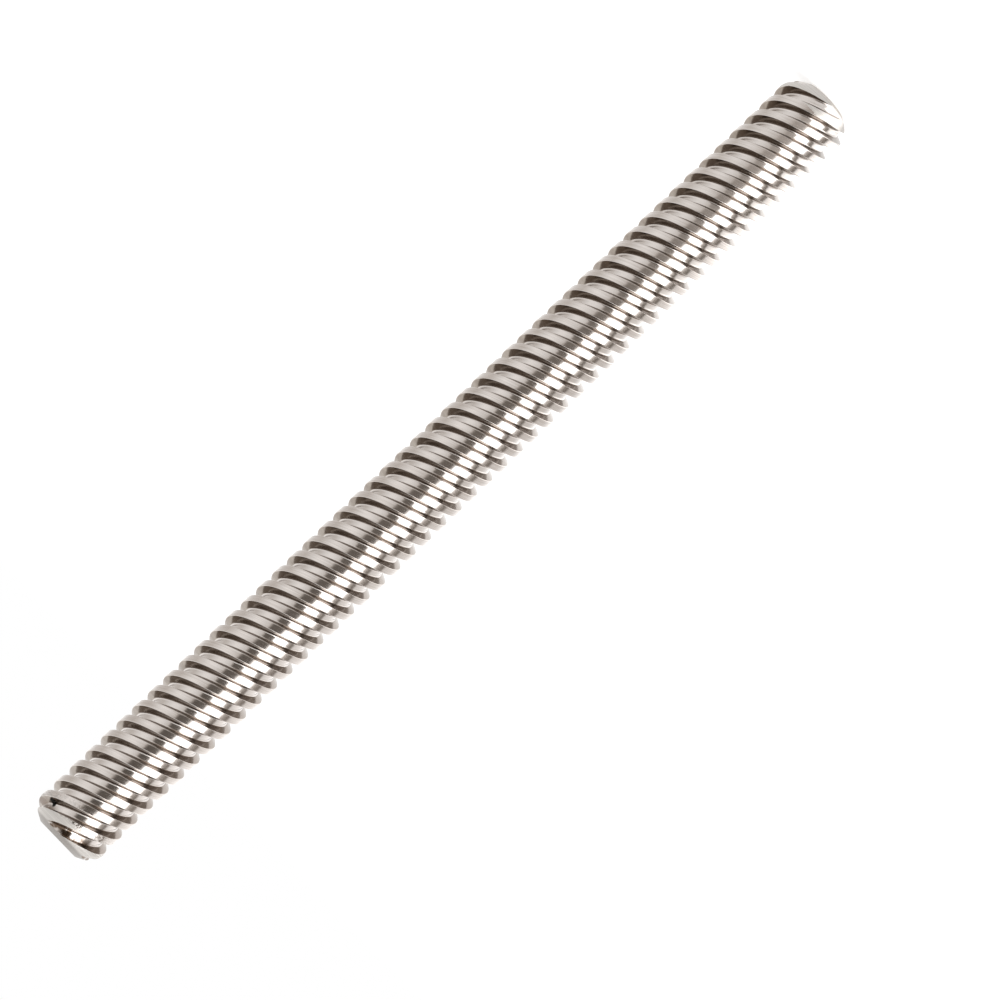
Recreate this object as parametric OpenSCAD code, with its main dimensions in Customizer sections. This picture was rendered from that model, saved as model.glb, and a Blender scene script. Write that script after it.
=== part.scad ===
// Trapezoidal lead screw: a rolled steel rod with four thread starts, cut to length and
// turned at both ends, where a chamfer runs over a round shoulder into the thread crests.
// Millimetres. +Z runs along the axis, and the origin is the middle of the lower end face,
// on which the screw stands.

/* [Rod] */
// Length between the two end faces
screw_length = 100; // [60:1:120]
// Outside diameter, over the thread crests
major_diameter = 8; // [7:0.1:12]

/* [Ends] */
// Diameter of the flat face that the chamfer leaves at the lower end
lower_face_diameter = 4.6; // [2:0.1:6]
// Angle between the lower chamfer and the axis
lower_chamfer_angle = 58; // [30:1:70]
// Radius of the shoulder between the lower chamfer and the crests
lower_shoulder_radius = 2.2; // [0.5:0.1:2.5]
// Diameter of the flat face that the chamfer leaves at the upper end
upper_face_diameter = 4.6; // [2:0.1:6]
// Angle between the upper chamfer and the axis
upper_chamfer_angle = 62; // [30:1:70]
// Radius of the shoulder between the upper chamfer and the crests
upper_shoulder_radius = 1.8; // [0.5:0.1:2.5]

/* [Thread] */
// Distance along the axis from one crest to the next
pitch = 2; // [1.6:0.1:3]
// Number of threads that run side by side around the rod
thread_starts = 4; // [1:1:4]
// Depth of the grooves, from the crests down to the root
thread_depth = 0.9; // [0.5:0.05:1.2]
// Width of the flat crest, measured along the axis
crest_width = 0.73; // [0.4:0.01:1.1]
// Lean of each flank from a line square to the axis
flank_angle = 15; // [10:1:20]

/* [Hidden] */

// Distance that one thread climbs in a full turn
lead = pitch * thread_starts;
major_radius = major_diameter / 2;
root_radius = major_radius - thread_depth;
// Width of the flat bottom of a groove, along the axis
root_width = pitch - crest_width - 2 * thread_depth * tan(flank_angle);

// Steps in the arc of each shoulder, and the straight stretch of a chamfer that a wide arc
// still leaves, measured across the axis
shoulder_steps = 6;
least_chamfer = 0.1;

// The groove cutter reaches past the crests and past both end faces, so that it cuts clean
cutter_clearance = 0.3;
cutter_radius = major_radius + cutter_clearance;
cutter_mouth = root_width + 2 * (cutter_radius - root_radius) * tan(flank_angle);
cutter_overrun = pitch;

// Rings that the groove cutter has in each turn, and the angle from one ring to the next
rings_per_turn = 24;
ring_angle = 360 / rings_per_turn;
cutter_turns = (screw_length + 2 * cutter_overrun) / lead;
cutter_rings = ceil(cutter_turns * rings_per_turn);
first_angle = -360 * cutter_overrun / lead;

// Corners of the groove's section in a plane through the axis, as [radius, height]
groove_section = [
    [root_radius, -root_width / 2],
    [cutter_radius, -cutter_mouth / 2],
    [cutter_radius, cutter_mouth / 2],
    [root_radius, root_width / 2]
];
corners = len(groove_section);

// A corner of the section, carried up the helix through an angle
function on_helix(corner, angle) = [
    corner[0] * cos(angle),
    corner[0] * sin(angle),
    corner[1] + lead * angle / 360
];

// Two triangles that join side k of one ring to the next ring
function side_faces(ring, k) =
    let (a = ring * corners + k,
         b = ring * corners + (k + 1) % corners)
    [[a, b, a + corners], [b, b + corners, a + corners]];

// One groove: its section carried along the right-hand helix
module thread_groove() {
    points = [
        for (ring = [0:cutter_rings], corner = groove_section)
            on_helix(corner, first_angle + ring * ring_angle)
    ];
    sides = [
        for (ring = [0:cutter_rings - 1], k = [0:corners - 1])
            each side_faces(ring, k)
    ];
    near_cap = [for (k = [corners - 1:-1:0]) k];
    far_cap = [for (k = [0:corners - 1]) cutter_rings * corners + k];
    polyhedron(points = points, faces = concat([near_cap], sides, [far_cap]), convexity = 10);
}

// Outline of one end, from the edge of its flat face out to the crests, as [radius, distance
// from the face]: a straight chamfer, then an arc that is tangent to the chamfer and the crests
function end_outline(face_diameter, chamfer_angle, shoulder_radius) =
    let (across = major_radius - face_diameter / 2,
         widest_arc = (across - least_chamfer) / (1 - cos(chamfer_angle)),
         arc_radius = min(shoulder_radius, widest_arc),
         straight = across - arc_radius * (1 - cos(chamfer_angle)),
         shoulder = straight / tan(chamfer_angle) + arc_radius * sin(chamfer_angle))
    concat(
        [[face_diameter / 2, 0]],
        [for (k = [shoulder_steps:-1:0])
            let (lean = chamfer_angle * k / shoulder_steps)
            [major_radius - arc_radius * (1 - cos(lean)), shoulder - arc_radius * sin(lean)]]
    );

// The rod before it is threaded, turned to its crest diameter with both ends shaped
module chamfered_blank() {
    lower = end_outline(lower_face_diameter, lower_chamfer_angle, lower_shoulder_radius);
    upper = end_outline(upper_face_diameter, upper_chamfer_angle, upper_shoulder_radius);
    upper_down = [for (k = [len(upper) - 1:-1:0]) [upper[k][0], screw_length - upper[k][1]]];
    rotate_extrude($fn = 96)
        polygon(concat([[0, 0]], lower, upper_down, [[0, screw_length]]));
}

module lead_screw() {
    color("#c9c5c1")
        difference() {
            chamfered_blank();
            for (start = [0:thread_starts - 1])
                rotate(start * 360 / thread_starts)
                    thread_groove();
        }
}

lead_screw();
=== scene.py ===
# Trapezoidal lead screw: the finished thread, its steel, and the studio it stands in
import math

import bpy
import numpy as np
from mathutils import Matrix, Vector


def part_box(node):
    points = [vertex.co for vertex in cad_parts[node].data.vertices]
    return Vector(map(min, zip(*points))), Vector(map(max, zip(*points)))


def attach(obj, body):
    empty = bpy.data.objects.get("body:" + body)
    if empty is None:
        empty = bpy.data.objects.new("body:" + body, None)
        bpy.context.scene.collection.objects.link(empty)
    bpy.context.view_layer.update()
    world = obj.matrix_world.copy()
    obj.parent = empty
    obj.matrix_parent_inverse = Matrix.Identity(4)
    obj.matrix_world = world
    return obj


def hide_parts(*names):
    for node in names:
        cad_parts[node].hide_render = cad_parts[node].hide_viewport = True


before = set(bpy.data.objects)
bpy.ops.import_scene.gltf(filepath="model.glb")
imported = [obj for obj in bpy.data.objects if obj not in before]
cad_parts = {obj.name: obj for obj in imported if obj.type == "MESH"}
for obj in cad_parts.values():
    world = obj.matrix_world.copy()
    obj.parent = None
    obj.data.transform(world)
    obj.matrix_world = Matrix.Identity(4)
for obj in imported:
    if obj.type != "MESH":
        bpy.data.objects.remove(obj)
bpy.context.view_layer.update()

print("frame loaded")

mm = 0.001
scene = bpy.context.scene


def linearColour(hexColour):
    # sRGB hex to the linear values that the shaders take, with an alpha of 1
    channels = [int(hexColour[i:i + 2], 16) / 255 for i in (1, 3, 5)]
    linear = [c / 12.92 if c <= 0.04045 else ((c + 0.055) / 1.055) ** 2.4 for c in channels]
    return (*linear, 1.0)


def addNode(owner, kind, settings=None, inputs=None):
    # One shader node of a material or a world. Settings are its properties, and inputs are its sockets,
    # each with a value or another node's output. It gives back the node's outputs.
    tree = owner.node_tree
    node = tree.nodes.new(kind)
    for name, value in (settings or {}).items():
        setattr(node, name, value)
    for name, value in (inputs or {}).items():
        if isinstance(value, bpy.types.NodeSocket):
            tree.links.new(value, node.inputs[name])
        else:
            node.inputs[name].default_value = value
    return node.outputs


def meshObject(name, points, faces):
    # an object at the origin, from points in metres and faces that list their points' numbers
    mesh = bpy.data.meshes.new(name)
    mesh.from_pydata(points, [], faces)
    mesh.update()
    made = bpy.data.objects.new(name, mesh)
    scene.collection.objects.link(made)
    return made


# the screw's own sizes, in millimetres and degrees; its length and diameter come from the frame
screwLow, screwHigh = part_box("lead_screw")
screw = {
    "length": (screwHigh.z - screwLow.z) / mm,
    "crestRadius": (screwHigh.x - screwLow.x) / 2 / mm,
    "pitch": 2.0,
    "starts": 4,
    "depth": 0.9,
    "crestWidth": 0.73,
    "flankAngle": 15.0,
    "crestRound": 0.07,        # rolled edges are a little soft
    "rootRound": 0.22,         # the rolling die leaves a fillet at each root corner
    "roundSteps": 3,
    "support": 0.05,           # rows beside each round, which keep the flats flat in shading
    "columns": 80,             # columns of points around the rod
    "sharpAngle": 32.0,        # edges that turn more than this stay sharp in shading
    "lowerFaceRadius": 2.3,
    "lowerChamferAngle": 58.0,
    "lowerShoulderRadius": 2.2,
    "upperFaceRadius": 2.3,
    "upperChamferAngle": 62.0,
    "upperShoulderRadius": 1.8,
    "shoulderSteps": 8,
    "blankSegments": 160,
    "blankClearance": 0.3,     # how far the blank's waist stands off the crests
    "faceSlack": 0.001,        # how far off an end face, or off the turned outline, the middle of a
    "outlineSlack": 0.01,      # mesh face may lie and still belong to it
    "streakWidth": 0.12,       # real streaks are finer, and are drawn this wide so that they show
    "streakLength": 3.0,
}
lead = screw["pitch"] * screw["starts"]    # what one thread climbs in a turn


def threadProfile():
    # Height and radius over one pitch: crest, flank, root and flank. Each flank runs depth x tan(flank angle)
    # along the rod, and each corner is rounded between the points that lie round x tan(turn / 2) before and
    # after it.
    p = screw
    flank = p["depth"] * math.tan(math.radians(p["flankAngle"]))
    root = p["crestRadius"] - p["depth"]
    half = p["crestWidth"] / 2
    corners = np.array([
        [-half, p["crestRadius"]],
        [half, p["crestRadius"]],
        [half + flank, root],
        [p["pitch"] - half - flank, root],
    ])
    rounds = np.array([p["crestRound"], p["crestRound"], p["rootRound"], p["rootRound"]])
    # the corner before the first and the one after the last belong to the next pitches
    onePitch = np.array([p["pitch"], 0.0])
    before = np.concatenate([corners[-1:] - onePitch, corners[:-1]])
    after = np.concatenate([corners[1:], corners[:1] + onePitch])
    toBefore = (before - corners) / np.linalg.norm(before - corners, axis=1)[:, None]
    toAfter = (after - corners) / np.linalg.norm(after - corners, axis=1)[:, None]
    turn = np.pi - np.arccos((toBefore * toAfter).sum(axis=1))
    tangent = rounds * np.tan(turn / 2)
    # a quadratic curve from the one point to the other, which the corner pulls at
    s = np.linspace(0, 1, p["roundSteps"] + 1)[None, :, None]
    start = (corners + toBefore * tangent[:, None])[:, None]
    end = (corners + toAfter * tangent[:, None])[:, None]
    curves = (1 - s) ** 2 * start + 2 * s * (1 - s) * corners[:, None] + s ** 2 * end
    first = curves[:, :1] + toBefore[:, None] * p["support"]
    last = curves[:, -1:] + toAfter[:, None] * p["support"]
    return np.concatenate([first, curves, last], axis=1).reshape(-1, 2)


def quadsBetween(here, there):
    # the faces between columns of points and the columns beside them
    return np.stack([here[:, :-1], there[:, :-1], there[:, 1:], here[:, 1:]], axis=-1).reshape(-1, 4)


def threadedRod():
    # Every column repeats the profile up the rod at its own angle, and each next column stands a little
    # higher, by lead / columns, so that the last one meets the first a whole lead higher. The rod runs past
    # both ends of the screw.
    p = screw
    profile = threadProfile()
    overrun = lead + p["pitch"]
    pitches = math.ceil((p["length"] + 2 * overrun) / p["pitch"])
    rows = pitches * len(profile)
    columns = p["columns"]
    heights = (profile[:, 0][None, :] + p["pitch"] * np.arange(pitches)[:, None]).ravel() - overrun
    radii = np.tile(profile[:, 1], pitches)
    angle = 2 * np.pi * np.arange(columns)[:, None] / columns
    z = heights[None, :] + lead * np.arange(columns)[:, None] / columns
    points = np.stack([radii * np.cos(angle), radii * np.sin(angle), z], axis=-1).reshape(-1, 3)
    shift = p["starts"] * len(profile)
    index = np.arange(columns * rows).reshape(columns, rows)
    sides = quadsBetween(index[:-1], index[1:])
    seam = quadsBetween(index[-1:, :rows - shift], index[:1, shift:])
    # each open end has a rim that goes round once and back along the seam, and a fan about the axis closes it
    lowRim = np.concatenate([index[:, 0], index[0, shift:0:-1]])
    highRim = np.concatenate([index[:, -1], index[-1, -2:rows - shift - 2:-1]])
    lowApex, highApex = len(points), len(points) + 1
    points = np.concatenate([points, [[0, 0, z.min() - lead], [0, 0, z.max() + lead]]])
    lowFan = np.stack([np.full(len(lowRim), lowApex), np.roll(lowRim, -1), lowRim], axis=-1)
    highFan = np.stack([np.full(len(highRim), highApex), highRim, np.roll(highRim, -1)], axis=-1)
    faces = sides.tolist() + seam.tolist() + lowFan.tolist() + highFan.tolist()
    return meshObject("threadedRod", points * mm, faces)


def endOutline(faceRadius, chamferAngle, shoulderRadius):
    # radius and height above the end face: a straight chamfer, then an arc that is tangent to the chamfer
    # and the crests, and last a point that stands off the crests
    p = screw
    lean = math.radians(chamferAngle)
    across = p["crestRadius"] - faceRadius
    straight = across - shoulderRadius * (1 - math.cos(lean))
    rise = straight / math.tan(lean) + shoulderRadius * math.sin(lean)
    turn = np.linspace(lean, 0, p["shoulderSteps"] + 1)
    arc = np.stack([
        p["crestRadius"] - shoulderRadius * (1 - np.cos(turn)),
        rise - shoulderRadius * np.sin(turn),
    ], axis=-1)
    clear = p["blankClearance"]
    return np.concatenate([[[faceRadius, 0]], arc, [[p["crestRadius"] + clear, rise + clear]]])


def blankOutline():
    # radius and height of the whole blank, from the lower end face to the upper one
    p = screw
    lower = endOutline(p["lowerFaceRadius"], p["lowerChamferAngle"], p["lowerShoulderRadius"])
    upper = endOutline(p["upperFaceRadius"], p["upperChamferAngle"], p["upperShoulderRadius"])
    upper = upper[::-1] * [1, -1] + [0, p["length"]]
    return np.concatenate([lower, upper])


def chamferedBlank():
    # the outline turned about the axis: each of its points goes round at its own radius and height, and a
    # flat face closes each end
    profile = blankOutline()
    count = screw["blankSegments"]
    angle = 2 * np.pi * np.arange(count)[:, None] / count
    points = np.stack([
        profile[None, :, 0] * np.cos(angle),
        profile[None, :, 0] * np.sin(angle),
        profile[None, :, 1] + 0 * angle,
    ], axis=-1).reshape(-1, 3)
    index = np.arange(count * len(profile)).reshape(count, len(profile))
    sides = quadsBetween(index, np.roll(index, -1, axis=0))
    ends = [index[::-1, 0].tolist(), index[:, -1].tolist()]
    return meshObject("chamferedBlank", points * mm, sides.tolist() + ends)


def finishedScrew():
    # what the threaded rod and the chamfered blank have in common
    rod = threadedRod()
    blank = chamferedBlank()
    cut = rod.modifiers.new("ends", "BOOLEAN")
    cut.operation = "INTERSECT"
    cut.solver = "EXACT"
    cut.object = blank
    made = bpy.data.meshes.new_from_object(rod.evaluated_get(bpy.context.evaluated_depsgraph_get()))
    finished = bpy.data.objects.new("leadScrew", made)
    scene.collection.objects.link(finished)
    bpy.data.objects.remove(rod)
    bpy.data.objects.remove(blank)
    return finished


def markTurnedEnds(piece):
    # an attribute that is 1 on the faces that the lathe left, which lie on the blank's outline
    p = screw
    mesh = piece.data
    centre = np.empty(len(mesh.polygons) * 3)
    mesh.polygons.foreach_get("center", centre)
    x, y, z = centre.reshape(-1, 3).T / mm
    outline = blankOutline()
    outside = np.interp(z, outline[:, 1], outline[:, 0])
    onFace = (z < p["faceSlack"]) | (z > p["length"] - p["faceSlack"])
    turned = onFace | (np.abs(np.hypot(x, y) - outside) < p["outlineSlack"])
    mark = mesh.attributes.new("turned", "FLOAT", "FACE")
    mark.data.foreach_set("value", turned.astype(float))


def markThreadDirection(piece):
    # An attribute that follows the thread. The angle 2 pi z / lead less the angle about the axis stays the
    # same all along a thread, so its cosine and sine change only across the threads, in streaks' widths, and
    # close up around the rod. The third value is the way along the thread, in streaks' lengths.
    p = screw
    mesh = piece.data
    point = np.empty(len(mesh.vertices) * 3)
    mesh.vertices.foreach_get("co", point)
    x, y, z = point.reshape(-1, 3).T / mm
    helix = 2 * np.pi * z / lead - np.arctan2(y, x)
    across = lead / (2 * np.pi * p["streakWidth"])
    climb = lead / math.hypot(lead, 2 * math.pi * p["crestRadius"])
    along = z / (p["streakLength"] * climb)
    place = np.stack([across * np.cos(helix), across * np.sin(helix), along], axis=-1)
    mark = mesh.attributes.new("alongThread", "FLOAT_VECTOR", "POINT")
    mark.data.foreach_set("vector", place.ravel())


leadScrew = finishedScrew()
leadScrew.data.polygons.foreach_set("use_smooth", np.ones(len(leadScrew.data.polygons), bool))
leadScrew.data.set_sharp_from_angle(angle=math.radians(screw["sharpAngle"]))
markTurnedEnds(leadScrew)
markThreadDirection(leadScrew)
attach(leadScrew, "root")
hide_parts("lead_screw")
print("screw made,", len(leadScrew.data.polygons), "faces")

# the steel's colours, and its other values with lengths in millimetres
steel = {
    # each noise: what it follows, the size of its marks, its detail and its roughness
    "noises": {
        "streaks": ("alongThread", 1.0, 2.0, 0.6),    # one streak, as the attribute counts in streaks
        "waves": ("place", 0.6, 1.0, 0.5),            # shallow, as rolling leaves them
        "oilAndShadeMottle": ("place", 0.909, 3.0, 0.5),         # patches where the oil is thicker, and the patches of the painted shade in the grooves near the upper end
        "rings": ("onLathe", 0.08, 1.0, 0.5),         # each is one pass of the turning tool
        "scuffs": ("place", 0.22, 2.0, 0.7),
    },
    # each zone: what it is measured by, where it begins and where it is full
    "zones": {
        "crest": ("radius", 3.90, 3.97),
        "root": ("radius", 3.24, 3.13),
        "litUpperFlank": ("facing", -0.1, 0.1),          # the flanks that face up, painted as the lit copy of the flank colour
        "shadedUpperEnd": ("facing", 0.74, 0.88),               # the upper end's face and chamfer, which face up and are painted darker grey as shade
        "clamped": ("height", 95.5, 98.0),            # where the saw's clamp held the crests
        "scuffed": ("scuffs", 0.50, 0.62),
        # near the upper end the grooves' roots and flanks are painted darker brown, in patches, as shade
        "nearUpperEnd": ("height", 97.9, 98.7),
        "shadedEndGrooves": ("oilAndShadeMottle", 0.38, 0.50),
        "grease": ("fromGrease", 0.50, 0.40),
    },
    # each shade: two colours, the noise that mixes them, and where it leaves the first and reaches the second
    "shades": {
        "crest": ("#d4cdc8", "#c4bcb6", "streaks", 0.35, 0.75),
        # the up-facing flanks' lit copy of the brown flank colour, mottled by the oil
        "litUpperFlank": ("#958b81", "#84796f", "oilAndShadeMottle", 0.35, 0.65),
        "end": ("#d3cfca", "#b6b1ac", "rings", 0.30, 0.70),
    },
    "shadedLowerFlank": "#7c7066",       # these flanks face down: brown from the oil, and painted darker as shade
    "root": "#cfc8c3",
    # painted shade in the grooves near the upper end
    "shadedEndGrooves": "#6d5c4e",
    "scuffed": "#b6b1ac",
    # painted shade on the upper end's face and chamfer
    "shadedUpperEnd": "#98938e",
    "grease": "#0b0a09",
    "greaseAt": (3.02, -1.74, 98.05),
    "rolledRoughness": (0.2, 0.8, 0.13, 0.20),    # from and to in the streaks' noise, then in roughness
    "scuffRougher": 0.2,
    "turnedRougher": 0.3,
    "waveDepth": 0.005,
    "streakDepth": 0.002,
    "scuffDepth": 0.012,
    "ringDepth": 0.002,
}


def steelPatterns(material):
    # the measures that the zones are set by, and the noises, whose scale is 1 / size
    p = steel
    coordinates = addNode(material, "ShaderNodeTexCoord")
    place = addNode(material, "ShaderNodeVectorMath", {"operation": "SCALE"},
                    {"Vector": coordinates["Object"], "Scale": 1 / mm})["Vector"]
    height = addNode(material, "ShaderNodeSeparateXYZ", None, {"Vector": place})["Z"]
    flat = addNode(material, "ShaderNodeVectorMath", {"operation": "MULTIPLY"},
                   {0: place, 1: (1, 1, 0)})["Vector"]
    radius = addNode(material, "ShaderNodeVectorMath", {"operation": "LENGTH"}, {0: flat})["Value"]
    pattern = {
        "place": place,
        "height": height,
        "radius": radius,
        "facing": addNode(material, "ShaderNodeSeparateXYZ", None, {"Vector": coordinates["Normal"]})["Z"],
        "fromGrease": addNode(material, "ShaderNodeVectorMath", {"operation": "DISTANCE"},
                              {0: place, 1: p["greaseAt"]})["Value"],
        "onLathe": addNode(material, "ShaderNodeCombineXYZ", None, {"X": radius, "Y": height})["Vector"],
        "turned": addNode(material, "ShaderNodeAttribute", {"attribute_name": "turned"})["Fac"],
        "alongThread": addNode(material, "ShaderNodeAttribute", {"attribute_name": "alongThread"})["Vector"],
    }
    for name, (follows, size, detail, roughness) in p["noises"].items():
        pattern[name] = addNode(material, "ShaderNodeTexNoise", None, {
            "Vector": pattern[follows], "Scale": 1 / size, "Detail": detail, "Roughness": roughness})["Fac"]
    return pattern


def steelZones(material, pattern):
    # how far a point lies inside each zone, from 0 to 1
    zone = {"turned": pattern["turned"]}
    for name, (measure, begins, full) in steel["zones"].items():
        zone[name] = addNode(material, "ShaderNodeMapRange", {"interpolation_type": "SMOOTHSTEP"},
                             {"Value": pattern[measure], "From Min": begins, "From Max": full})["Result"]
    # only crests that the clamp held are scuffed, and the painted shade in the grooves lies only near the
    # upper end
    for name, within in (("scuffed", "clamped"), ("scuffed", "crest"), ("shadedEndGrooves", "nearUpperEnd")):
        zone[name] = addNode(material, "ShaderNodeMath", {"operation": "MULTIPLY"},
                             {0: zone[name], 1: zone[within]})["Value"]
    return zone


def steelColour(material, pattern, zone):
    # the shades first, then each zone's colour over the ones before
    p = steel
    shade = {}
    for name, (first, second, noise, leaves, reaches) in p["shades"].items():
        amount = addNode(material, "ShaderNodeMapRange", None, {
            "Value": pattern[noise], "From Min": leaves, "From Max": reaches})["Result"]
        shade[name] = addNode(material, "ShaderNodeMix", {"data_type": "RGBA"}, {
            "Factor": amount, "A": linearColour(first), "B": linearColour(second)})["Result"]
    # the up-facing face and chamfer of the upper end take the painted shade
    endColour = addNode(material, "ShaderNodeMix", {"data_type": "RGBA"}, {
        "Factor": zone["shadedUpperEnd"], "A": shade["end"], "B": linearColour(p["shadedUpperEnd"])})["Result"]
    # the colour starts as the down-facing flanks' painted shade, and the lit upper flanks go over it
    colour = linearColour(p["shadedLowerFlank"])
    for name, over in (
        ("litUpperFlank", shade["litUpperFlank"]),
        ("root", linearColour(p["root"])),
        # painted shade in the grooves near the upper end
        ("shadedEndGrooves", linearColour(p["shadedEndGrooves"])),
        ("crest", shade["crest"]),
        ("scuffed", linearColour(p["scuffed"])),
        ("turned", endColour),
        ("grease", linearColour(p["grease"])),
    ):
        colour = addNode(material, "ShaderNodeMix", {"data_type": "RGBA"}, {
            "Factor": zone[name], "A": colour, "B": over})["Result"]
    return colour


def steelRoughness(material, pattern, zone):
    # the rolled metal is bright, the scuffs less so, and the lathe's cut is dull
    p = steel
    fromMin, fromMax, toMin, toMax = p["rolledRoughness"]
    rolled = addNode(material, "ShaderNodeMapRange", None, {
        "Value": pattern["streaks"], "From Min": fromMin, "From Max": fromMax,
        "To Min": toMin, "To Max": toMax})["Result"]
    scuffed = addNode(material, "ShaderNodeMath", {"operation": "MULTIPLY_ADD"},
                      {0: zone["scuffed"], 1: p["scuffRougher"], 2: rolled})["Value"]
    return addNode(material, "ShaderNodeMath", {"operation": "MULTIPLY_ADD"},
                   {0: zone["turned"], 1: p["turnedRougher"], 2: scuffed})["Value"]


def steelRelief(material, pattern, zone):
    # waves, streaks, scuffs and the lathe's rings, each on the normal of the one before
    p = steel
    ringsOnEnds = addNode(material, "ShaderNodeMath", {"operation": "MULTIPLY"},
                          {0: pattern["rings"], 1: zone["turned"]})["Value"]
    wavy = addNode(material, "ShaderNodeBump", None, {
        "Height": pattern["waves"], "Distance": p["waveDepth"] * mm})["Normal"]
    streaky = addNode(material, "ShaderNodeBump", None, {
        "Height": pattern["streaks"], "Distance": p["streakDepth"] * mm, "Normal": wavy})["Normal"]
    scratchy = addNode(material, "ShaderNodeBump", None, {
        "Height": zone["scuffed"], "Distance": p["scuffDepth"] * mm, "Normal": streaky})["Normal"]
    return addNode(material, "ShaderNodeBump", None, {
        "Height": ringsOnEnds, "Distance": p["ringDepth"] * mm, "Normal": scratchy})["Normal"]


def rolledStainlessSteel():
    # Stainless steel bar with its thread rolled in and its ends turned. The crests are bright and carry fine
    # streaks along the thread, brown rolling oil stays on the grooves' flanks, and the ends are dull from the
    # lathe. Painted shade darkens the flanks that face down, the grooves near the upper end, and the upper
    # end's face and chamfer.
    material = bpy.data.materials.new("rolledStainlessSteel")
    material.use_nodes = True
    shader = material.node_tree.nodes["Principled BSDF"]
    shader.inputs["Metallic"].default_value = 1.0
    pattern = steelPatterns(material)
    zone = steelZones(material, pattern)
    links = material.node_tree.links
    links.new(steelColour(material, pattern, zone), shader.inputs["Base Color"])
    links.new(steelRoughness(material, pattern, zone), shader.inputs["Roughness"])
    links.new(steelRelief(material, pattern, zone), shader.inputs["Normal"])
    return material


leadScrew.data.materials.clear()
leadScrew.data.materials.append(rolledStainlessSteel())
print("steel made")

# the photograph's view: where the middles of both end faces lie in it, and its focal length
view = {
    "frame": 1000,
    "upperEndPixel": (57.8, 839.1),
    "lowerEndPixel": (824.9, 101.6),
    "focalPixels": 5300,
    "azimuth": 6.0,            # degrees that the camera stands round the axis, which place the threads
    "sensorWidth": 36,         # mm
    "clipStart": 0.01,
}


def placeCamera():
    # the upper face is seen exactly edge-on, so the ray to it is square to the screw's axis:
    # the angle between the rays to both ends then gives the distance and the tilt
    p = view
    half = p["frame"] / 2

    def ray(pixel):
        return Vector((pixel[0] - half, half - pixel[1], -p["focalPixels"])).normalized()

    toUpper, toLower = ray(p["upperEndPixel"]), ray(p["lowerEndPixel"])
    between = toUpper.angle(toLower)
    down = (toLower - toLower.dot(toUpper) * toUpper).normalized()
    distance = screw["length"] * mm / math.tan(between)
    # the world's axes as the camera sees them
    upAxis = -down
    depthAxis = (toUpper - toUpper.dot(upAxis) * upAxis).normalized()
    sideAxis = depthAxis.cross(upAxis)
    toWorld = Matrix((sideAxis, depthAxis, upAxis))
    rotation = Matrix.Rotation(math.radians(p["azimuth"]), 3, "Z") @ toWorld
    place = Vector((0, 0, screw["length"] * mm)) - rotation @ (toUpper * distance)
    data = bpy.data.cameras.new("camera")
    data.sensor_width = p["sensorWidth"]
    data.lens = p["sensorWidth"] * p["focalPixels"] / p["frame"]
    data.clip_start = p["clipStart"]
    camera = bpy.data.objects.new("camera", data)
    camera.matrix_world = Matrix.Translation(place) @ rotation.to_4x4()
    scene.collection.objects.link(camera)
    scene.camera = camera
    return camera


camera = placeCamera()
print("camera at", [round(v, 4) for v in camera.location])

# The studio, in metres and degrees. Angles about the screw are counted from the camera, positive towards the
# camera's left.
studio = {
    "floorSize": 6.0,
    "floorPaint": "#f4f4f4",
    "floorRoughness": 0.9,
    "floorGlow": 0.45,         # what the floor shows of its own, so that its shadow stays pale
    "worldLight": 0.8,
    "keyFrom": 17,
    "keyTo": 66,
    "keyDistance": 0.30,
    "keyHeight": 0.45,
    "keyLift": 0.002,          # its lower edge stays off the floor
    "keyRadiance": 2.0,
    "darkTint": "#ffeedd",     # what is dark in the room is warm
    "columnsPerStop": 12,
}

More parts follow.
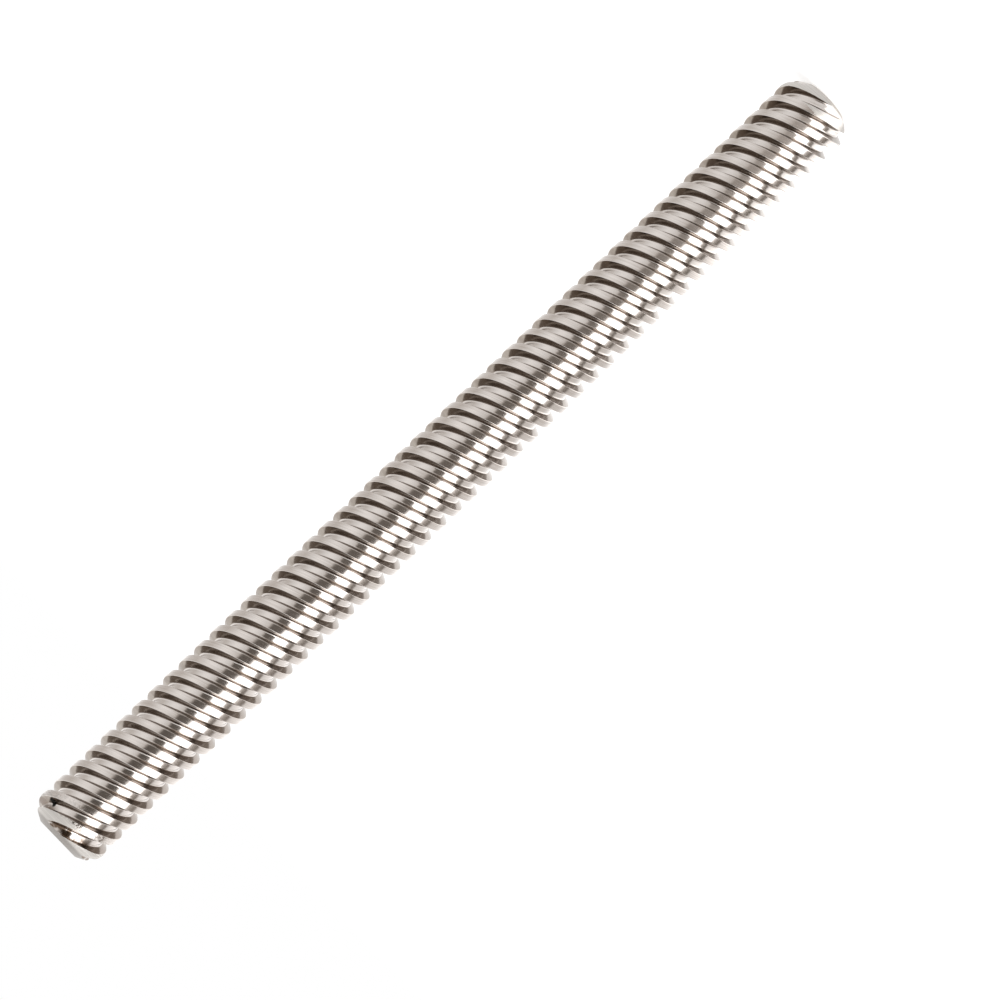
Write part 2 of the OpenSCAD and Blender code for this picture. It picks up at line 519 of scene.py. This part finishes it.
# What the metal sees around it, as bands about the screw's axis. Each goes from one (distance, height) in
# metres to another, and each stop is an angle and a strength at the first edge, then an angle and a strength
# at the second.
bands = {
    "footRing": {
        "edges": ((0.00235, 0.0003), (0.009, 0.0003)),
        "stops": (
            (-180, 1.3, -180, 1.4), (12, 1.0, 12, 1.0), (17, 2.0, 17, 3.0), (58, 2.0, 58, 3.0),
            (68, 1.0, 68, 0.8), (100, 1.3, 100, 1.4), (180, 1.3, 180, 1.4),
        ),
    },
    "floorBand": {
        "edges": ((0.009, 0.0003), (0.22, 0.0003)),
        "stops": (
            (-180, 1.7, -180, 1.5), (-150, 1.3, -150, 1.1), (-130, 1.0, -130, 0.90),
            (-100, 0.8, -100, 0.75), (-60, 1.05, -60, 1.15), (-45, 1.0, -45, 1.10),
            (-24, 0.75, -20, 0.85), (-10, 0.55, -14, 0.20), (15, 0.62, 15, 0.20), (18, 3.5, 19, 3.5),
            (54, 3.5, 59, 3.5), (59, 0.6, 64, 0.75), (73, 0.15, 82, 0.10), (80, 1.6, 89, 0.75),
            (100, 2.4, 118, 0.80), (150, 1.9, 150, 1.3), (180, 1.9, 180, 1.6),
        ),
    },
    "wallBand": {
        "edges": ((0.22, 0.0), (0.22, 0.14)),
        "stops": (
            (-180, 1.6, -180, 1.6), (-150, 1.1, -150, 1.1), (-130, 0.90, -130, 0.80),
            (-100, 0.75, -103, 0.72), (-60, 1.15, -60, 1.12), (-45, 1.10, -45, 1.10),
            (-20, 0.85, -20, 0.80), (-14, 0.20, -13, 0.06), (15, 0.20, 21, 0.12), (19, 3.5, 30, 3.5),
            (59, 3.5, 68, 3.5), (64, 0.75, 73, 0.60), (82, 0.10, 98, 0.30), (89, 0.75, 106, 1.3),
            (118, 0.80, 130, 1.7), (150, 1.3, 150, 1.7), (180, 1.6, 180, 1.6),
        ),
    },
    "upperBand": {
        "edges": ((0.22, 0.14), (0.22, 0.45)),
        "stops": (
            (-180, 1.35, -180, 1.35), (-140, 1.35, -140, 1.35), (-115, 1.0, -115, 1.0),
            (21, 1.0, 21, 1.0), (30, 4.0, 30, 4.0), (68, 4.0, 68, 4.0), (73, 1.0, 73, 1.0),
            (115, 1.0, 115, 1.0), (140, 1.35, 140, 1.35), (180, 1.35, 180, 1.35),
        ),
    },
}


def aboutScrew(angle, distance, height):
    # a point at that angle from the camera's side, as seen from the screw
    turn = math.radians(view["azimuth"]) - np.radians(angle)
    return np.stack([distance * np.sin(turn), -distance * np.cos(turn), height + 0 * turn], axis=-1)


def litPaper():
    # dull black paper that glows as its light attribute says, so the metal sees nothing but that light
    material = bpy.data.materials.new("litPaper")
    material.use_nodes = True
    shader = material.node_tree.nodes["Principled BSDF"]
    shader.inputs["Base Color"].default_value = (0, 0, 0, 1)
    shader.inputs["Specular IOR Level"].default_value = 0.0
    shader.inputs["Emission Strength"].default_value = 1.0
    light = addNode(material, "ShaderNodeAttribute", {"attribute_name": "light"})["Color"]
    material.node_tree.links.new(light, shader.inputs["Emission Color"])
    return material


def reflectedBand(name, edges, stops, paper):
    # a strip about the screw's axis, whose light passes from stop to stop in a straight line;
    # only the metal sees it: it casts no shadow and lights nothing else
    column = np.linspace(0, len(stops) - 1, studio["columnsPerStop"] * (len(stops) - 1) + 1)
    stops = np.array(stops, float)
    points, light = [], []
    for edge, first in zip(edges, (0, 2)):
        angle = np.interp(column, np.arange(len(stops)), stops[:, first])
        strength = np.interp(column, np.arange(len(stops)), stops[:, first + 1])[:, None]
        pale = np.minimum(strength, 1)
        tint = pale * linearColour("#ffffff") + (1 - pale) * linearColour(studio["darkTint"])
        points.append(aboutScrew(angle, *edge))
        light.append(strength * tint)
    count = len(column)
    index = np.arange(count - 1)
    faces = np.stack([index, index + 1, index + 1 + count, index + count], axis=-1)
    band = meshObject(name, np.concatenate(points), faces.tolist())
    mark = band.data.attributes.new("light", "FLOAT_COLOR", "POINT")
    mark.data.foreach_set("color", np.concatenate(light).ravel())
    band.data.materials.append(paper)
    band.visible_camera = False
    band.visible_diffuse = False
    band.visible_shadow = False


def whiteOrLit(owner, white, lit):
    # the strength that the camera, metal and glass see, or else the one that lights the scene
    path = addNode(owner, "ShaderNodeLightPath")
    seen = addNode(owner, "ShaderNodeMath", {"operation": "MAXIMUM"},
                   {0: path["Is Camera Ray"], 1: path["Is Glossy Ray"]})["Value"]
    seen = addNode(owner, "ShaderNodeMath", {"operation": "MAXIMUM"},
                   {0: seen, 1: path["Is Transmission Ray"]})["Value"]
    return addNode(owner, "ShaderNodeMapRange", None,
                   {"Value": seen, "To Min": lit, "To Max": white})["Result"]


def whiteFloorPaint():
    # matt white paint: it takes the shadow and shows no gloss
    material = bpy.data.materials.new("whiteFloorPaint")
    material.use_nodes = True
    shader = material.node_tree.nodes["Principled BSDF"]
    shader.inputs["Base Color"].default_value = linearColour(studio["floorPaint"])
    shader.inputs["Roughness"].default_value = studio["floorRoughness"]
    shader.inputs["Specular IOR Level"].default_value = 0.0
    shader.inputs["Emission Color"].default_value = (1, 1, 1, 1)
    glow = whiteOrLit(material, studio["floorGlow"], 0.0)
    material.node_tree.links.new(glow, shader.inputs["Emission Strength"])
    return material


def whiteFloor():
    # one square about the origin, level with the screw's lower end
    half = studio["floorSize"] / 2
    corners = [(-half, -half, 0), (half, -half, 0), (half, half, 0), (-half, half, 0)]
    floor = meshObject("floor", corners, [(0, 1, 2, 3)])
    floor.data.materials.append(whiteFloorPaint())


def keySoftbox():
    # a lamp whose face stands square to the line from the screw; its power is radiance x pi x area
    p = studio
    middle = (p["keyFrom"] + p["keyTo"]) / 2
    width = 2 * p["keyDistance"] * math.tan(math.radians(p["keyTo"] - p["keyFrom"]) / 2)
    data = bpy.data.lights.new("keySoftbox", "AREA")
    data.shape = "RECTANGLE"
    data.size = width
    data.size_y = p["keyHeight"]
    data.energy = p["keyRadiance"] * math.pi * width * p["keyHeight"]
    lamp = bpy.data.objects.new("keySoftbox", data)
    scene.collection.objects.link(lamp)
    lamp.location = aboutScrew(np.array([middle]), p["keyDistance"], p["keyHeight"] / 2 + p["keyLift"])[0]
    lamp.rotation_euler = (math.pi / 2, 0, math.radians(view["azimuth"] - middle))
    lamp.visible_camera = False
    lamp.visible_glossy = False    # the metal sees the bands in its place


def whiteWorld():
    # white to the camera and the metal, and a little darker as a light
    world = bpy.data.worlds.new("studio")
    scene.world = world
    world.use_nodes = True
    background = world.node_tree.nodes["Background"]
    background.inputs["Color"].default_value = (1, 1, 1, 1)
    strength = whiteOrLit(world, 1.0, studio["worldLight"])
    world.node_tree.links.new(strength, background.inputs["Strength"])


whiteFloor()
paper = litPaper()
for name, band in bands.items():
    reflectedBand(name, band["edges"], band["stops"], paper)
keySoftbox()
whiteWorld()
print("studio made")

scene.view_settings.view_transform = "Standard"
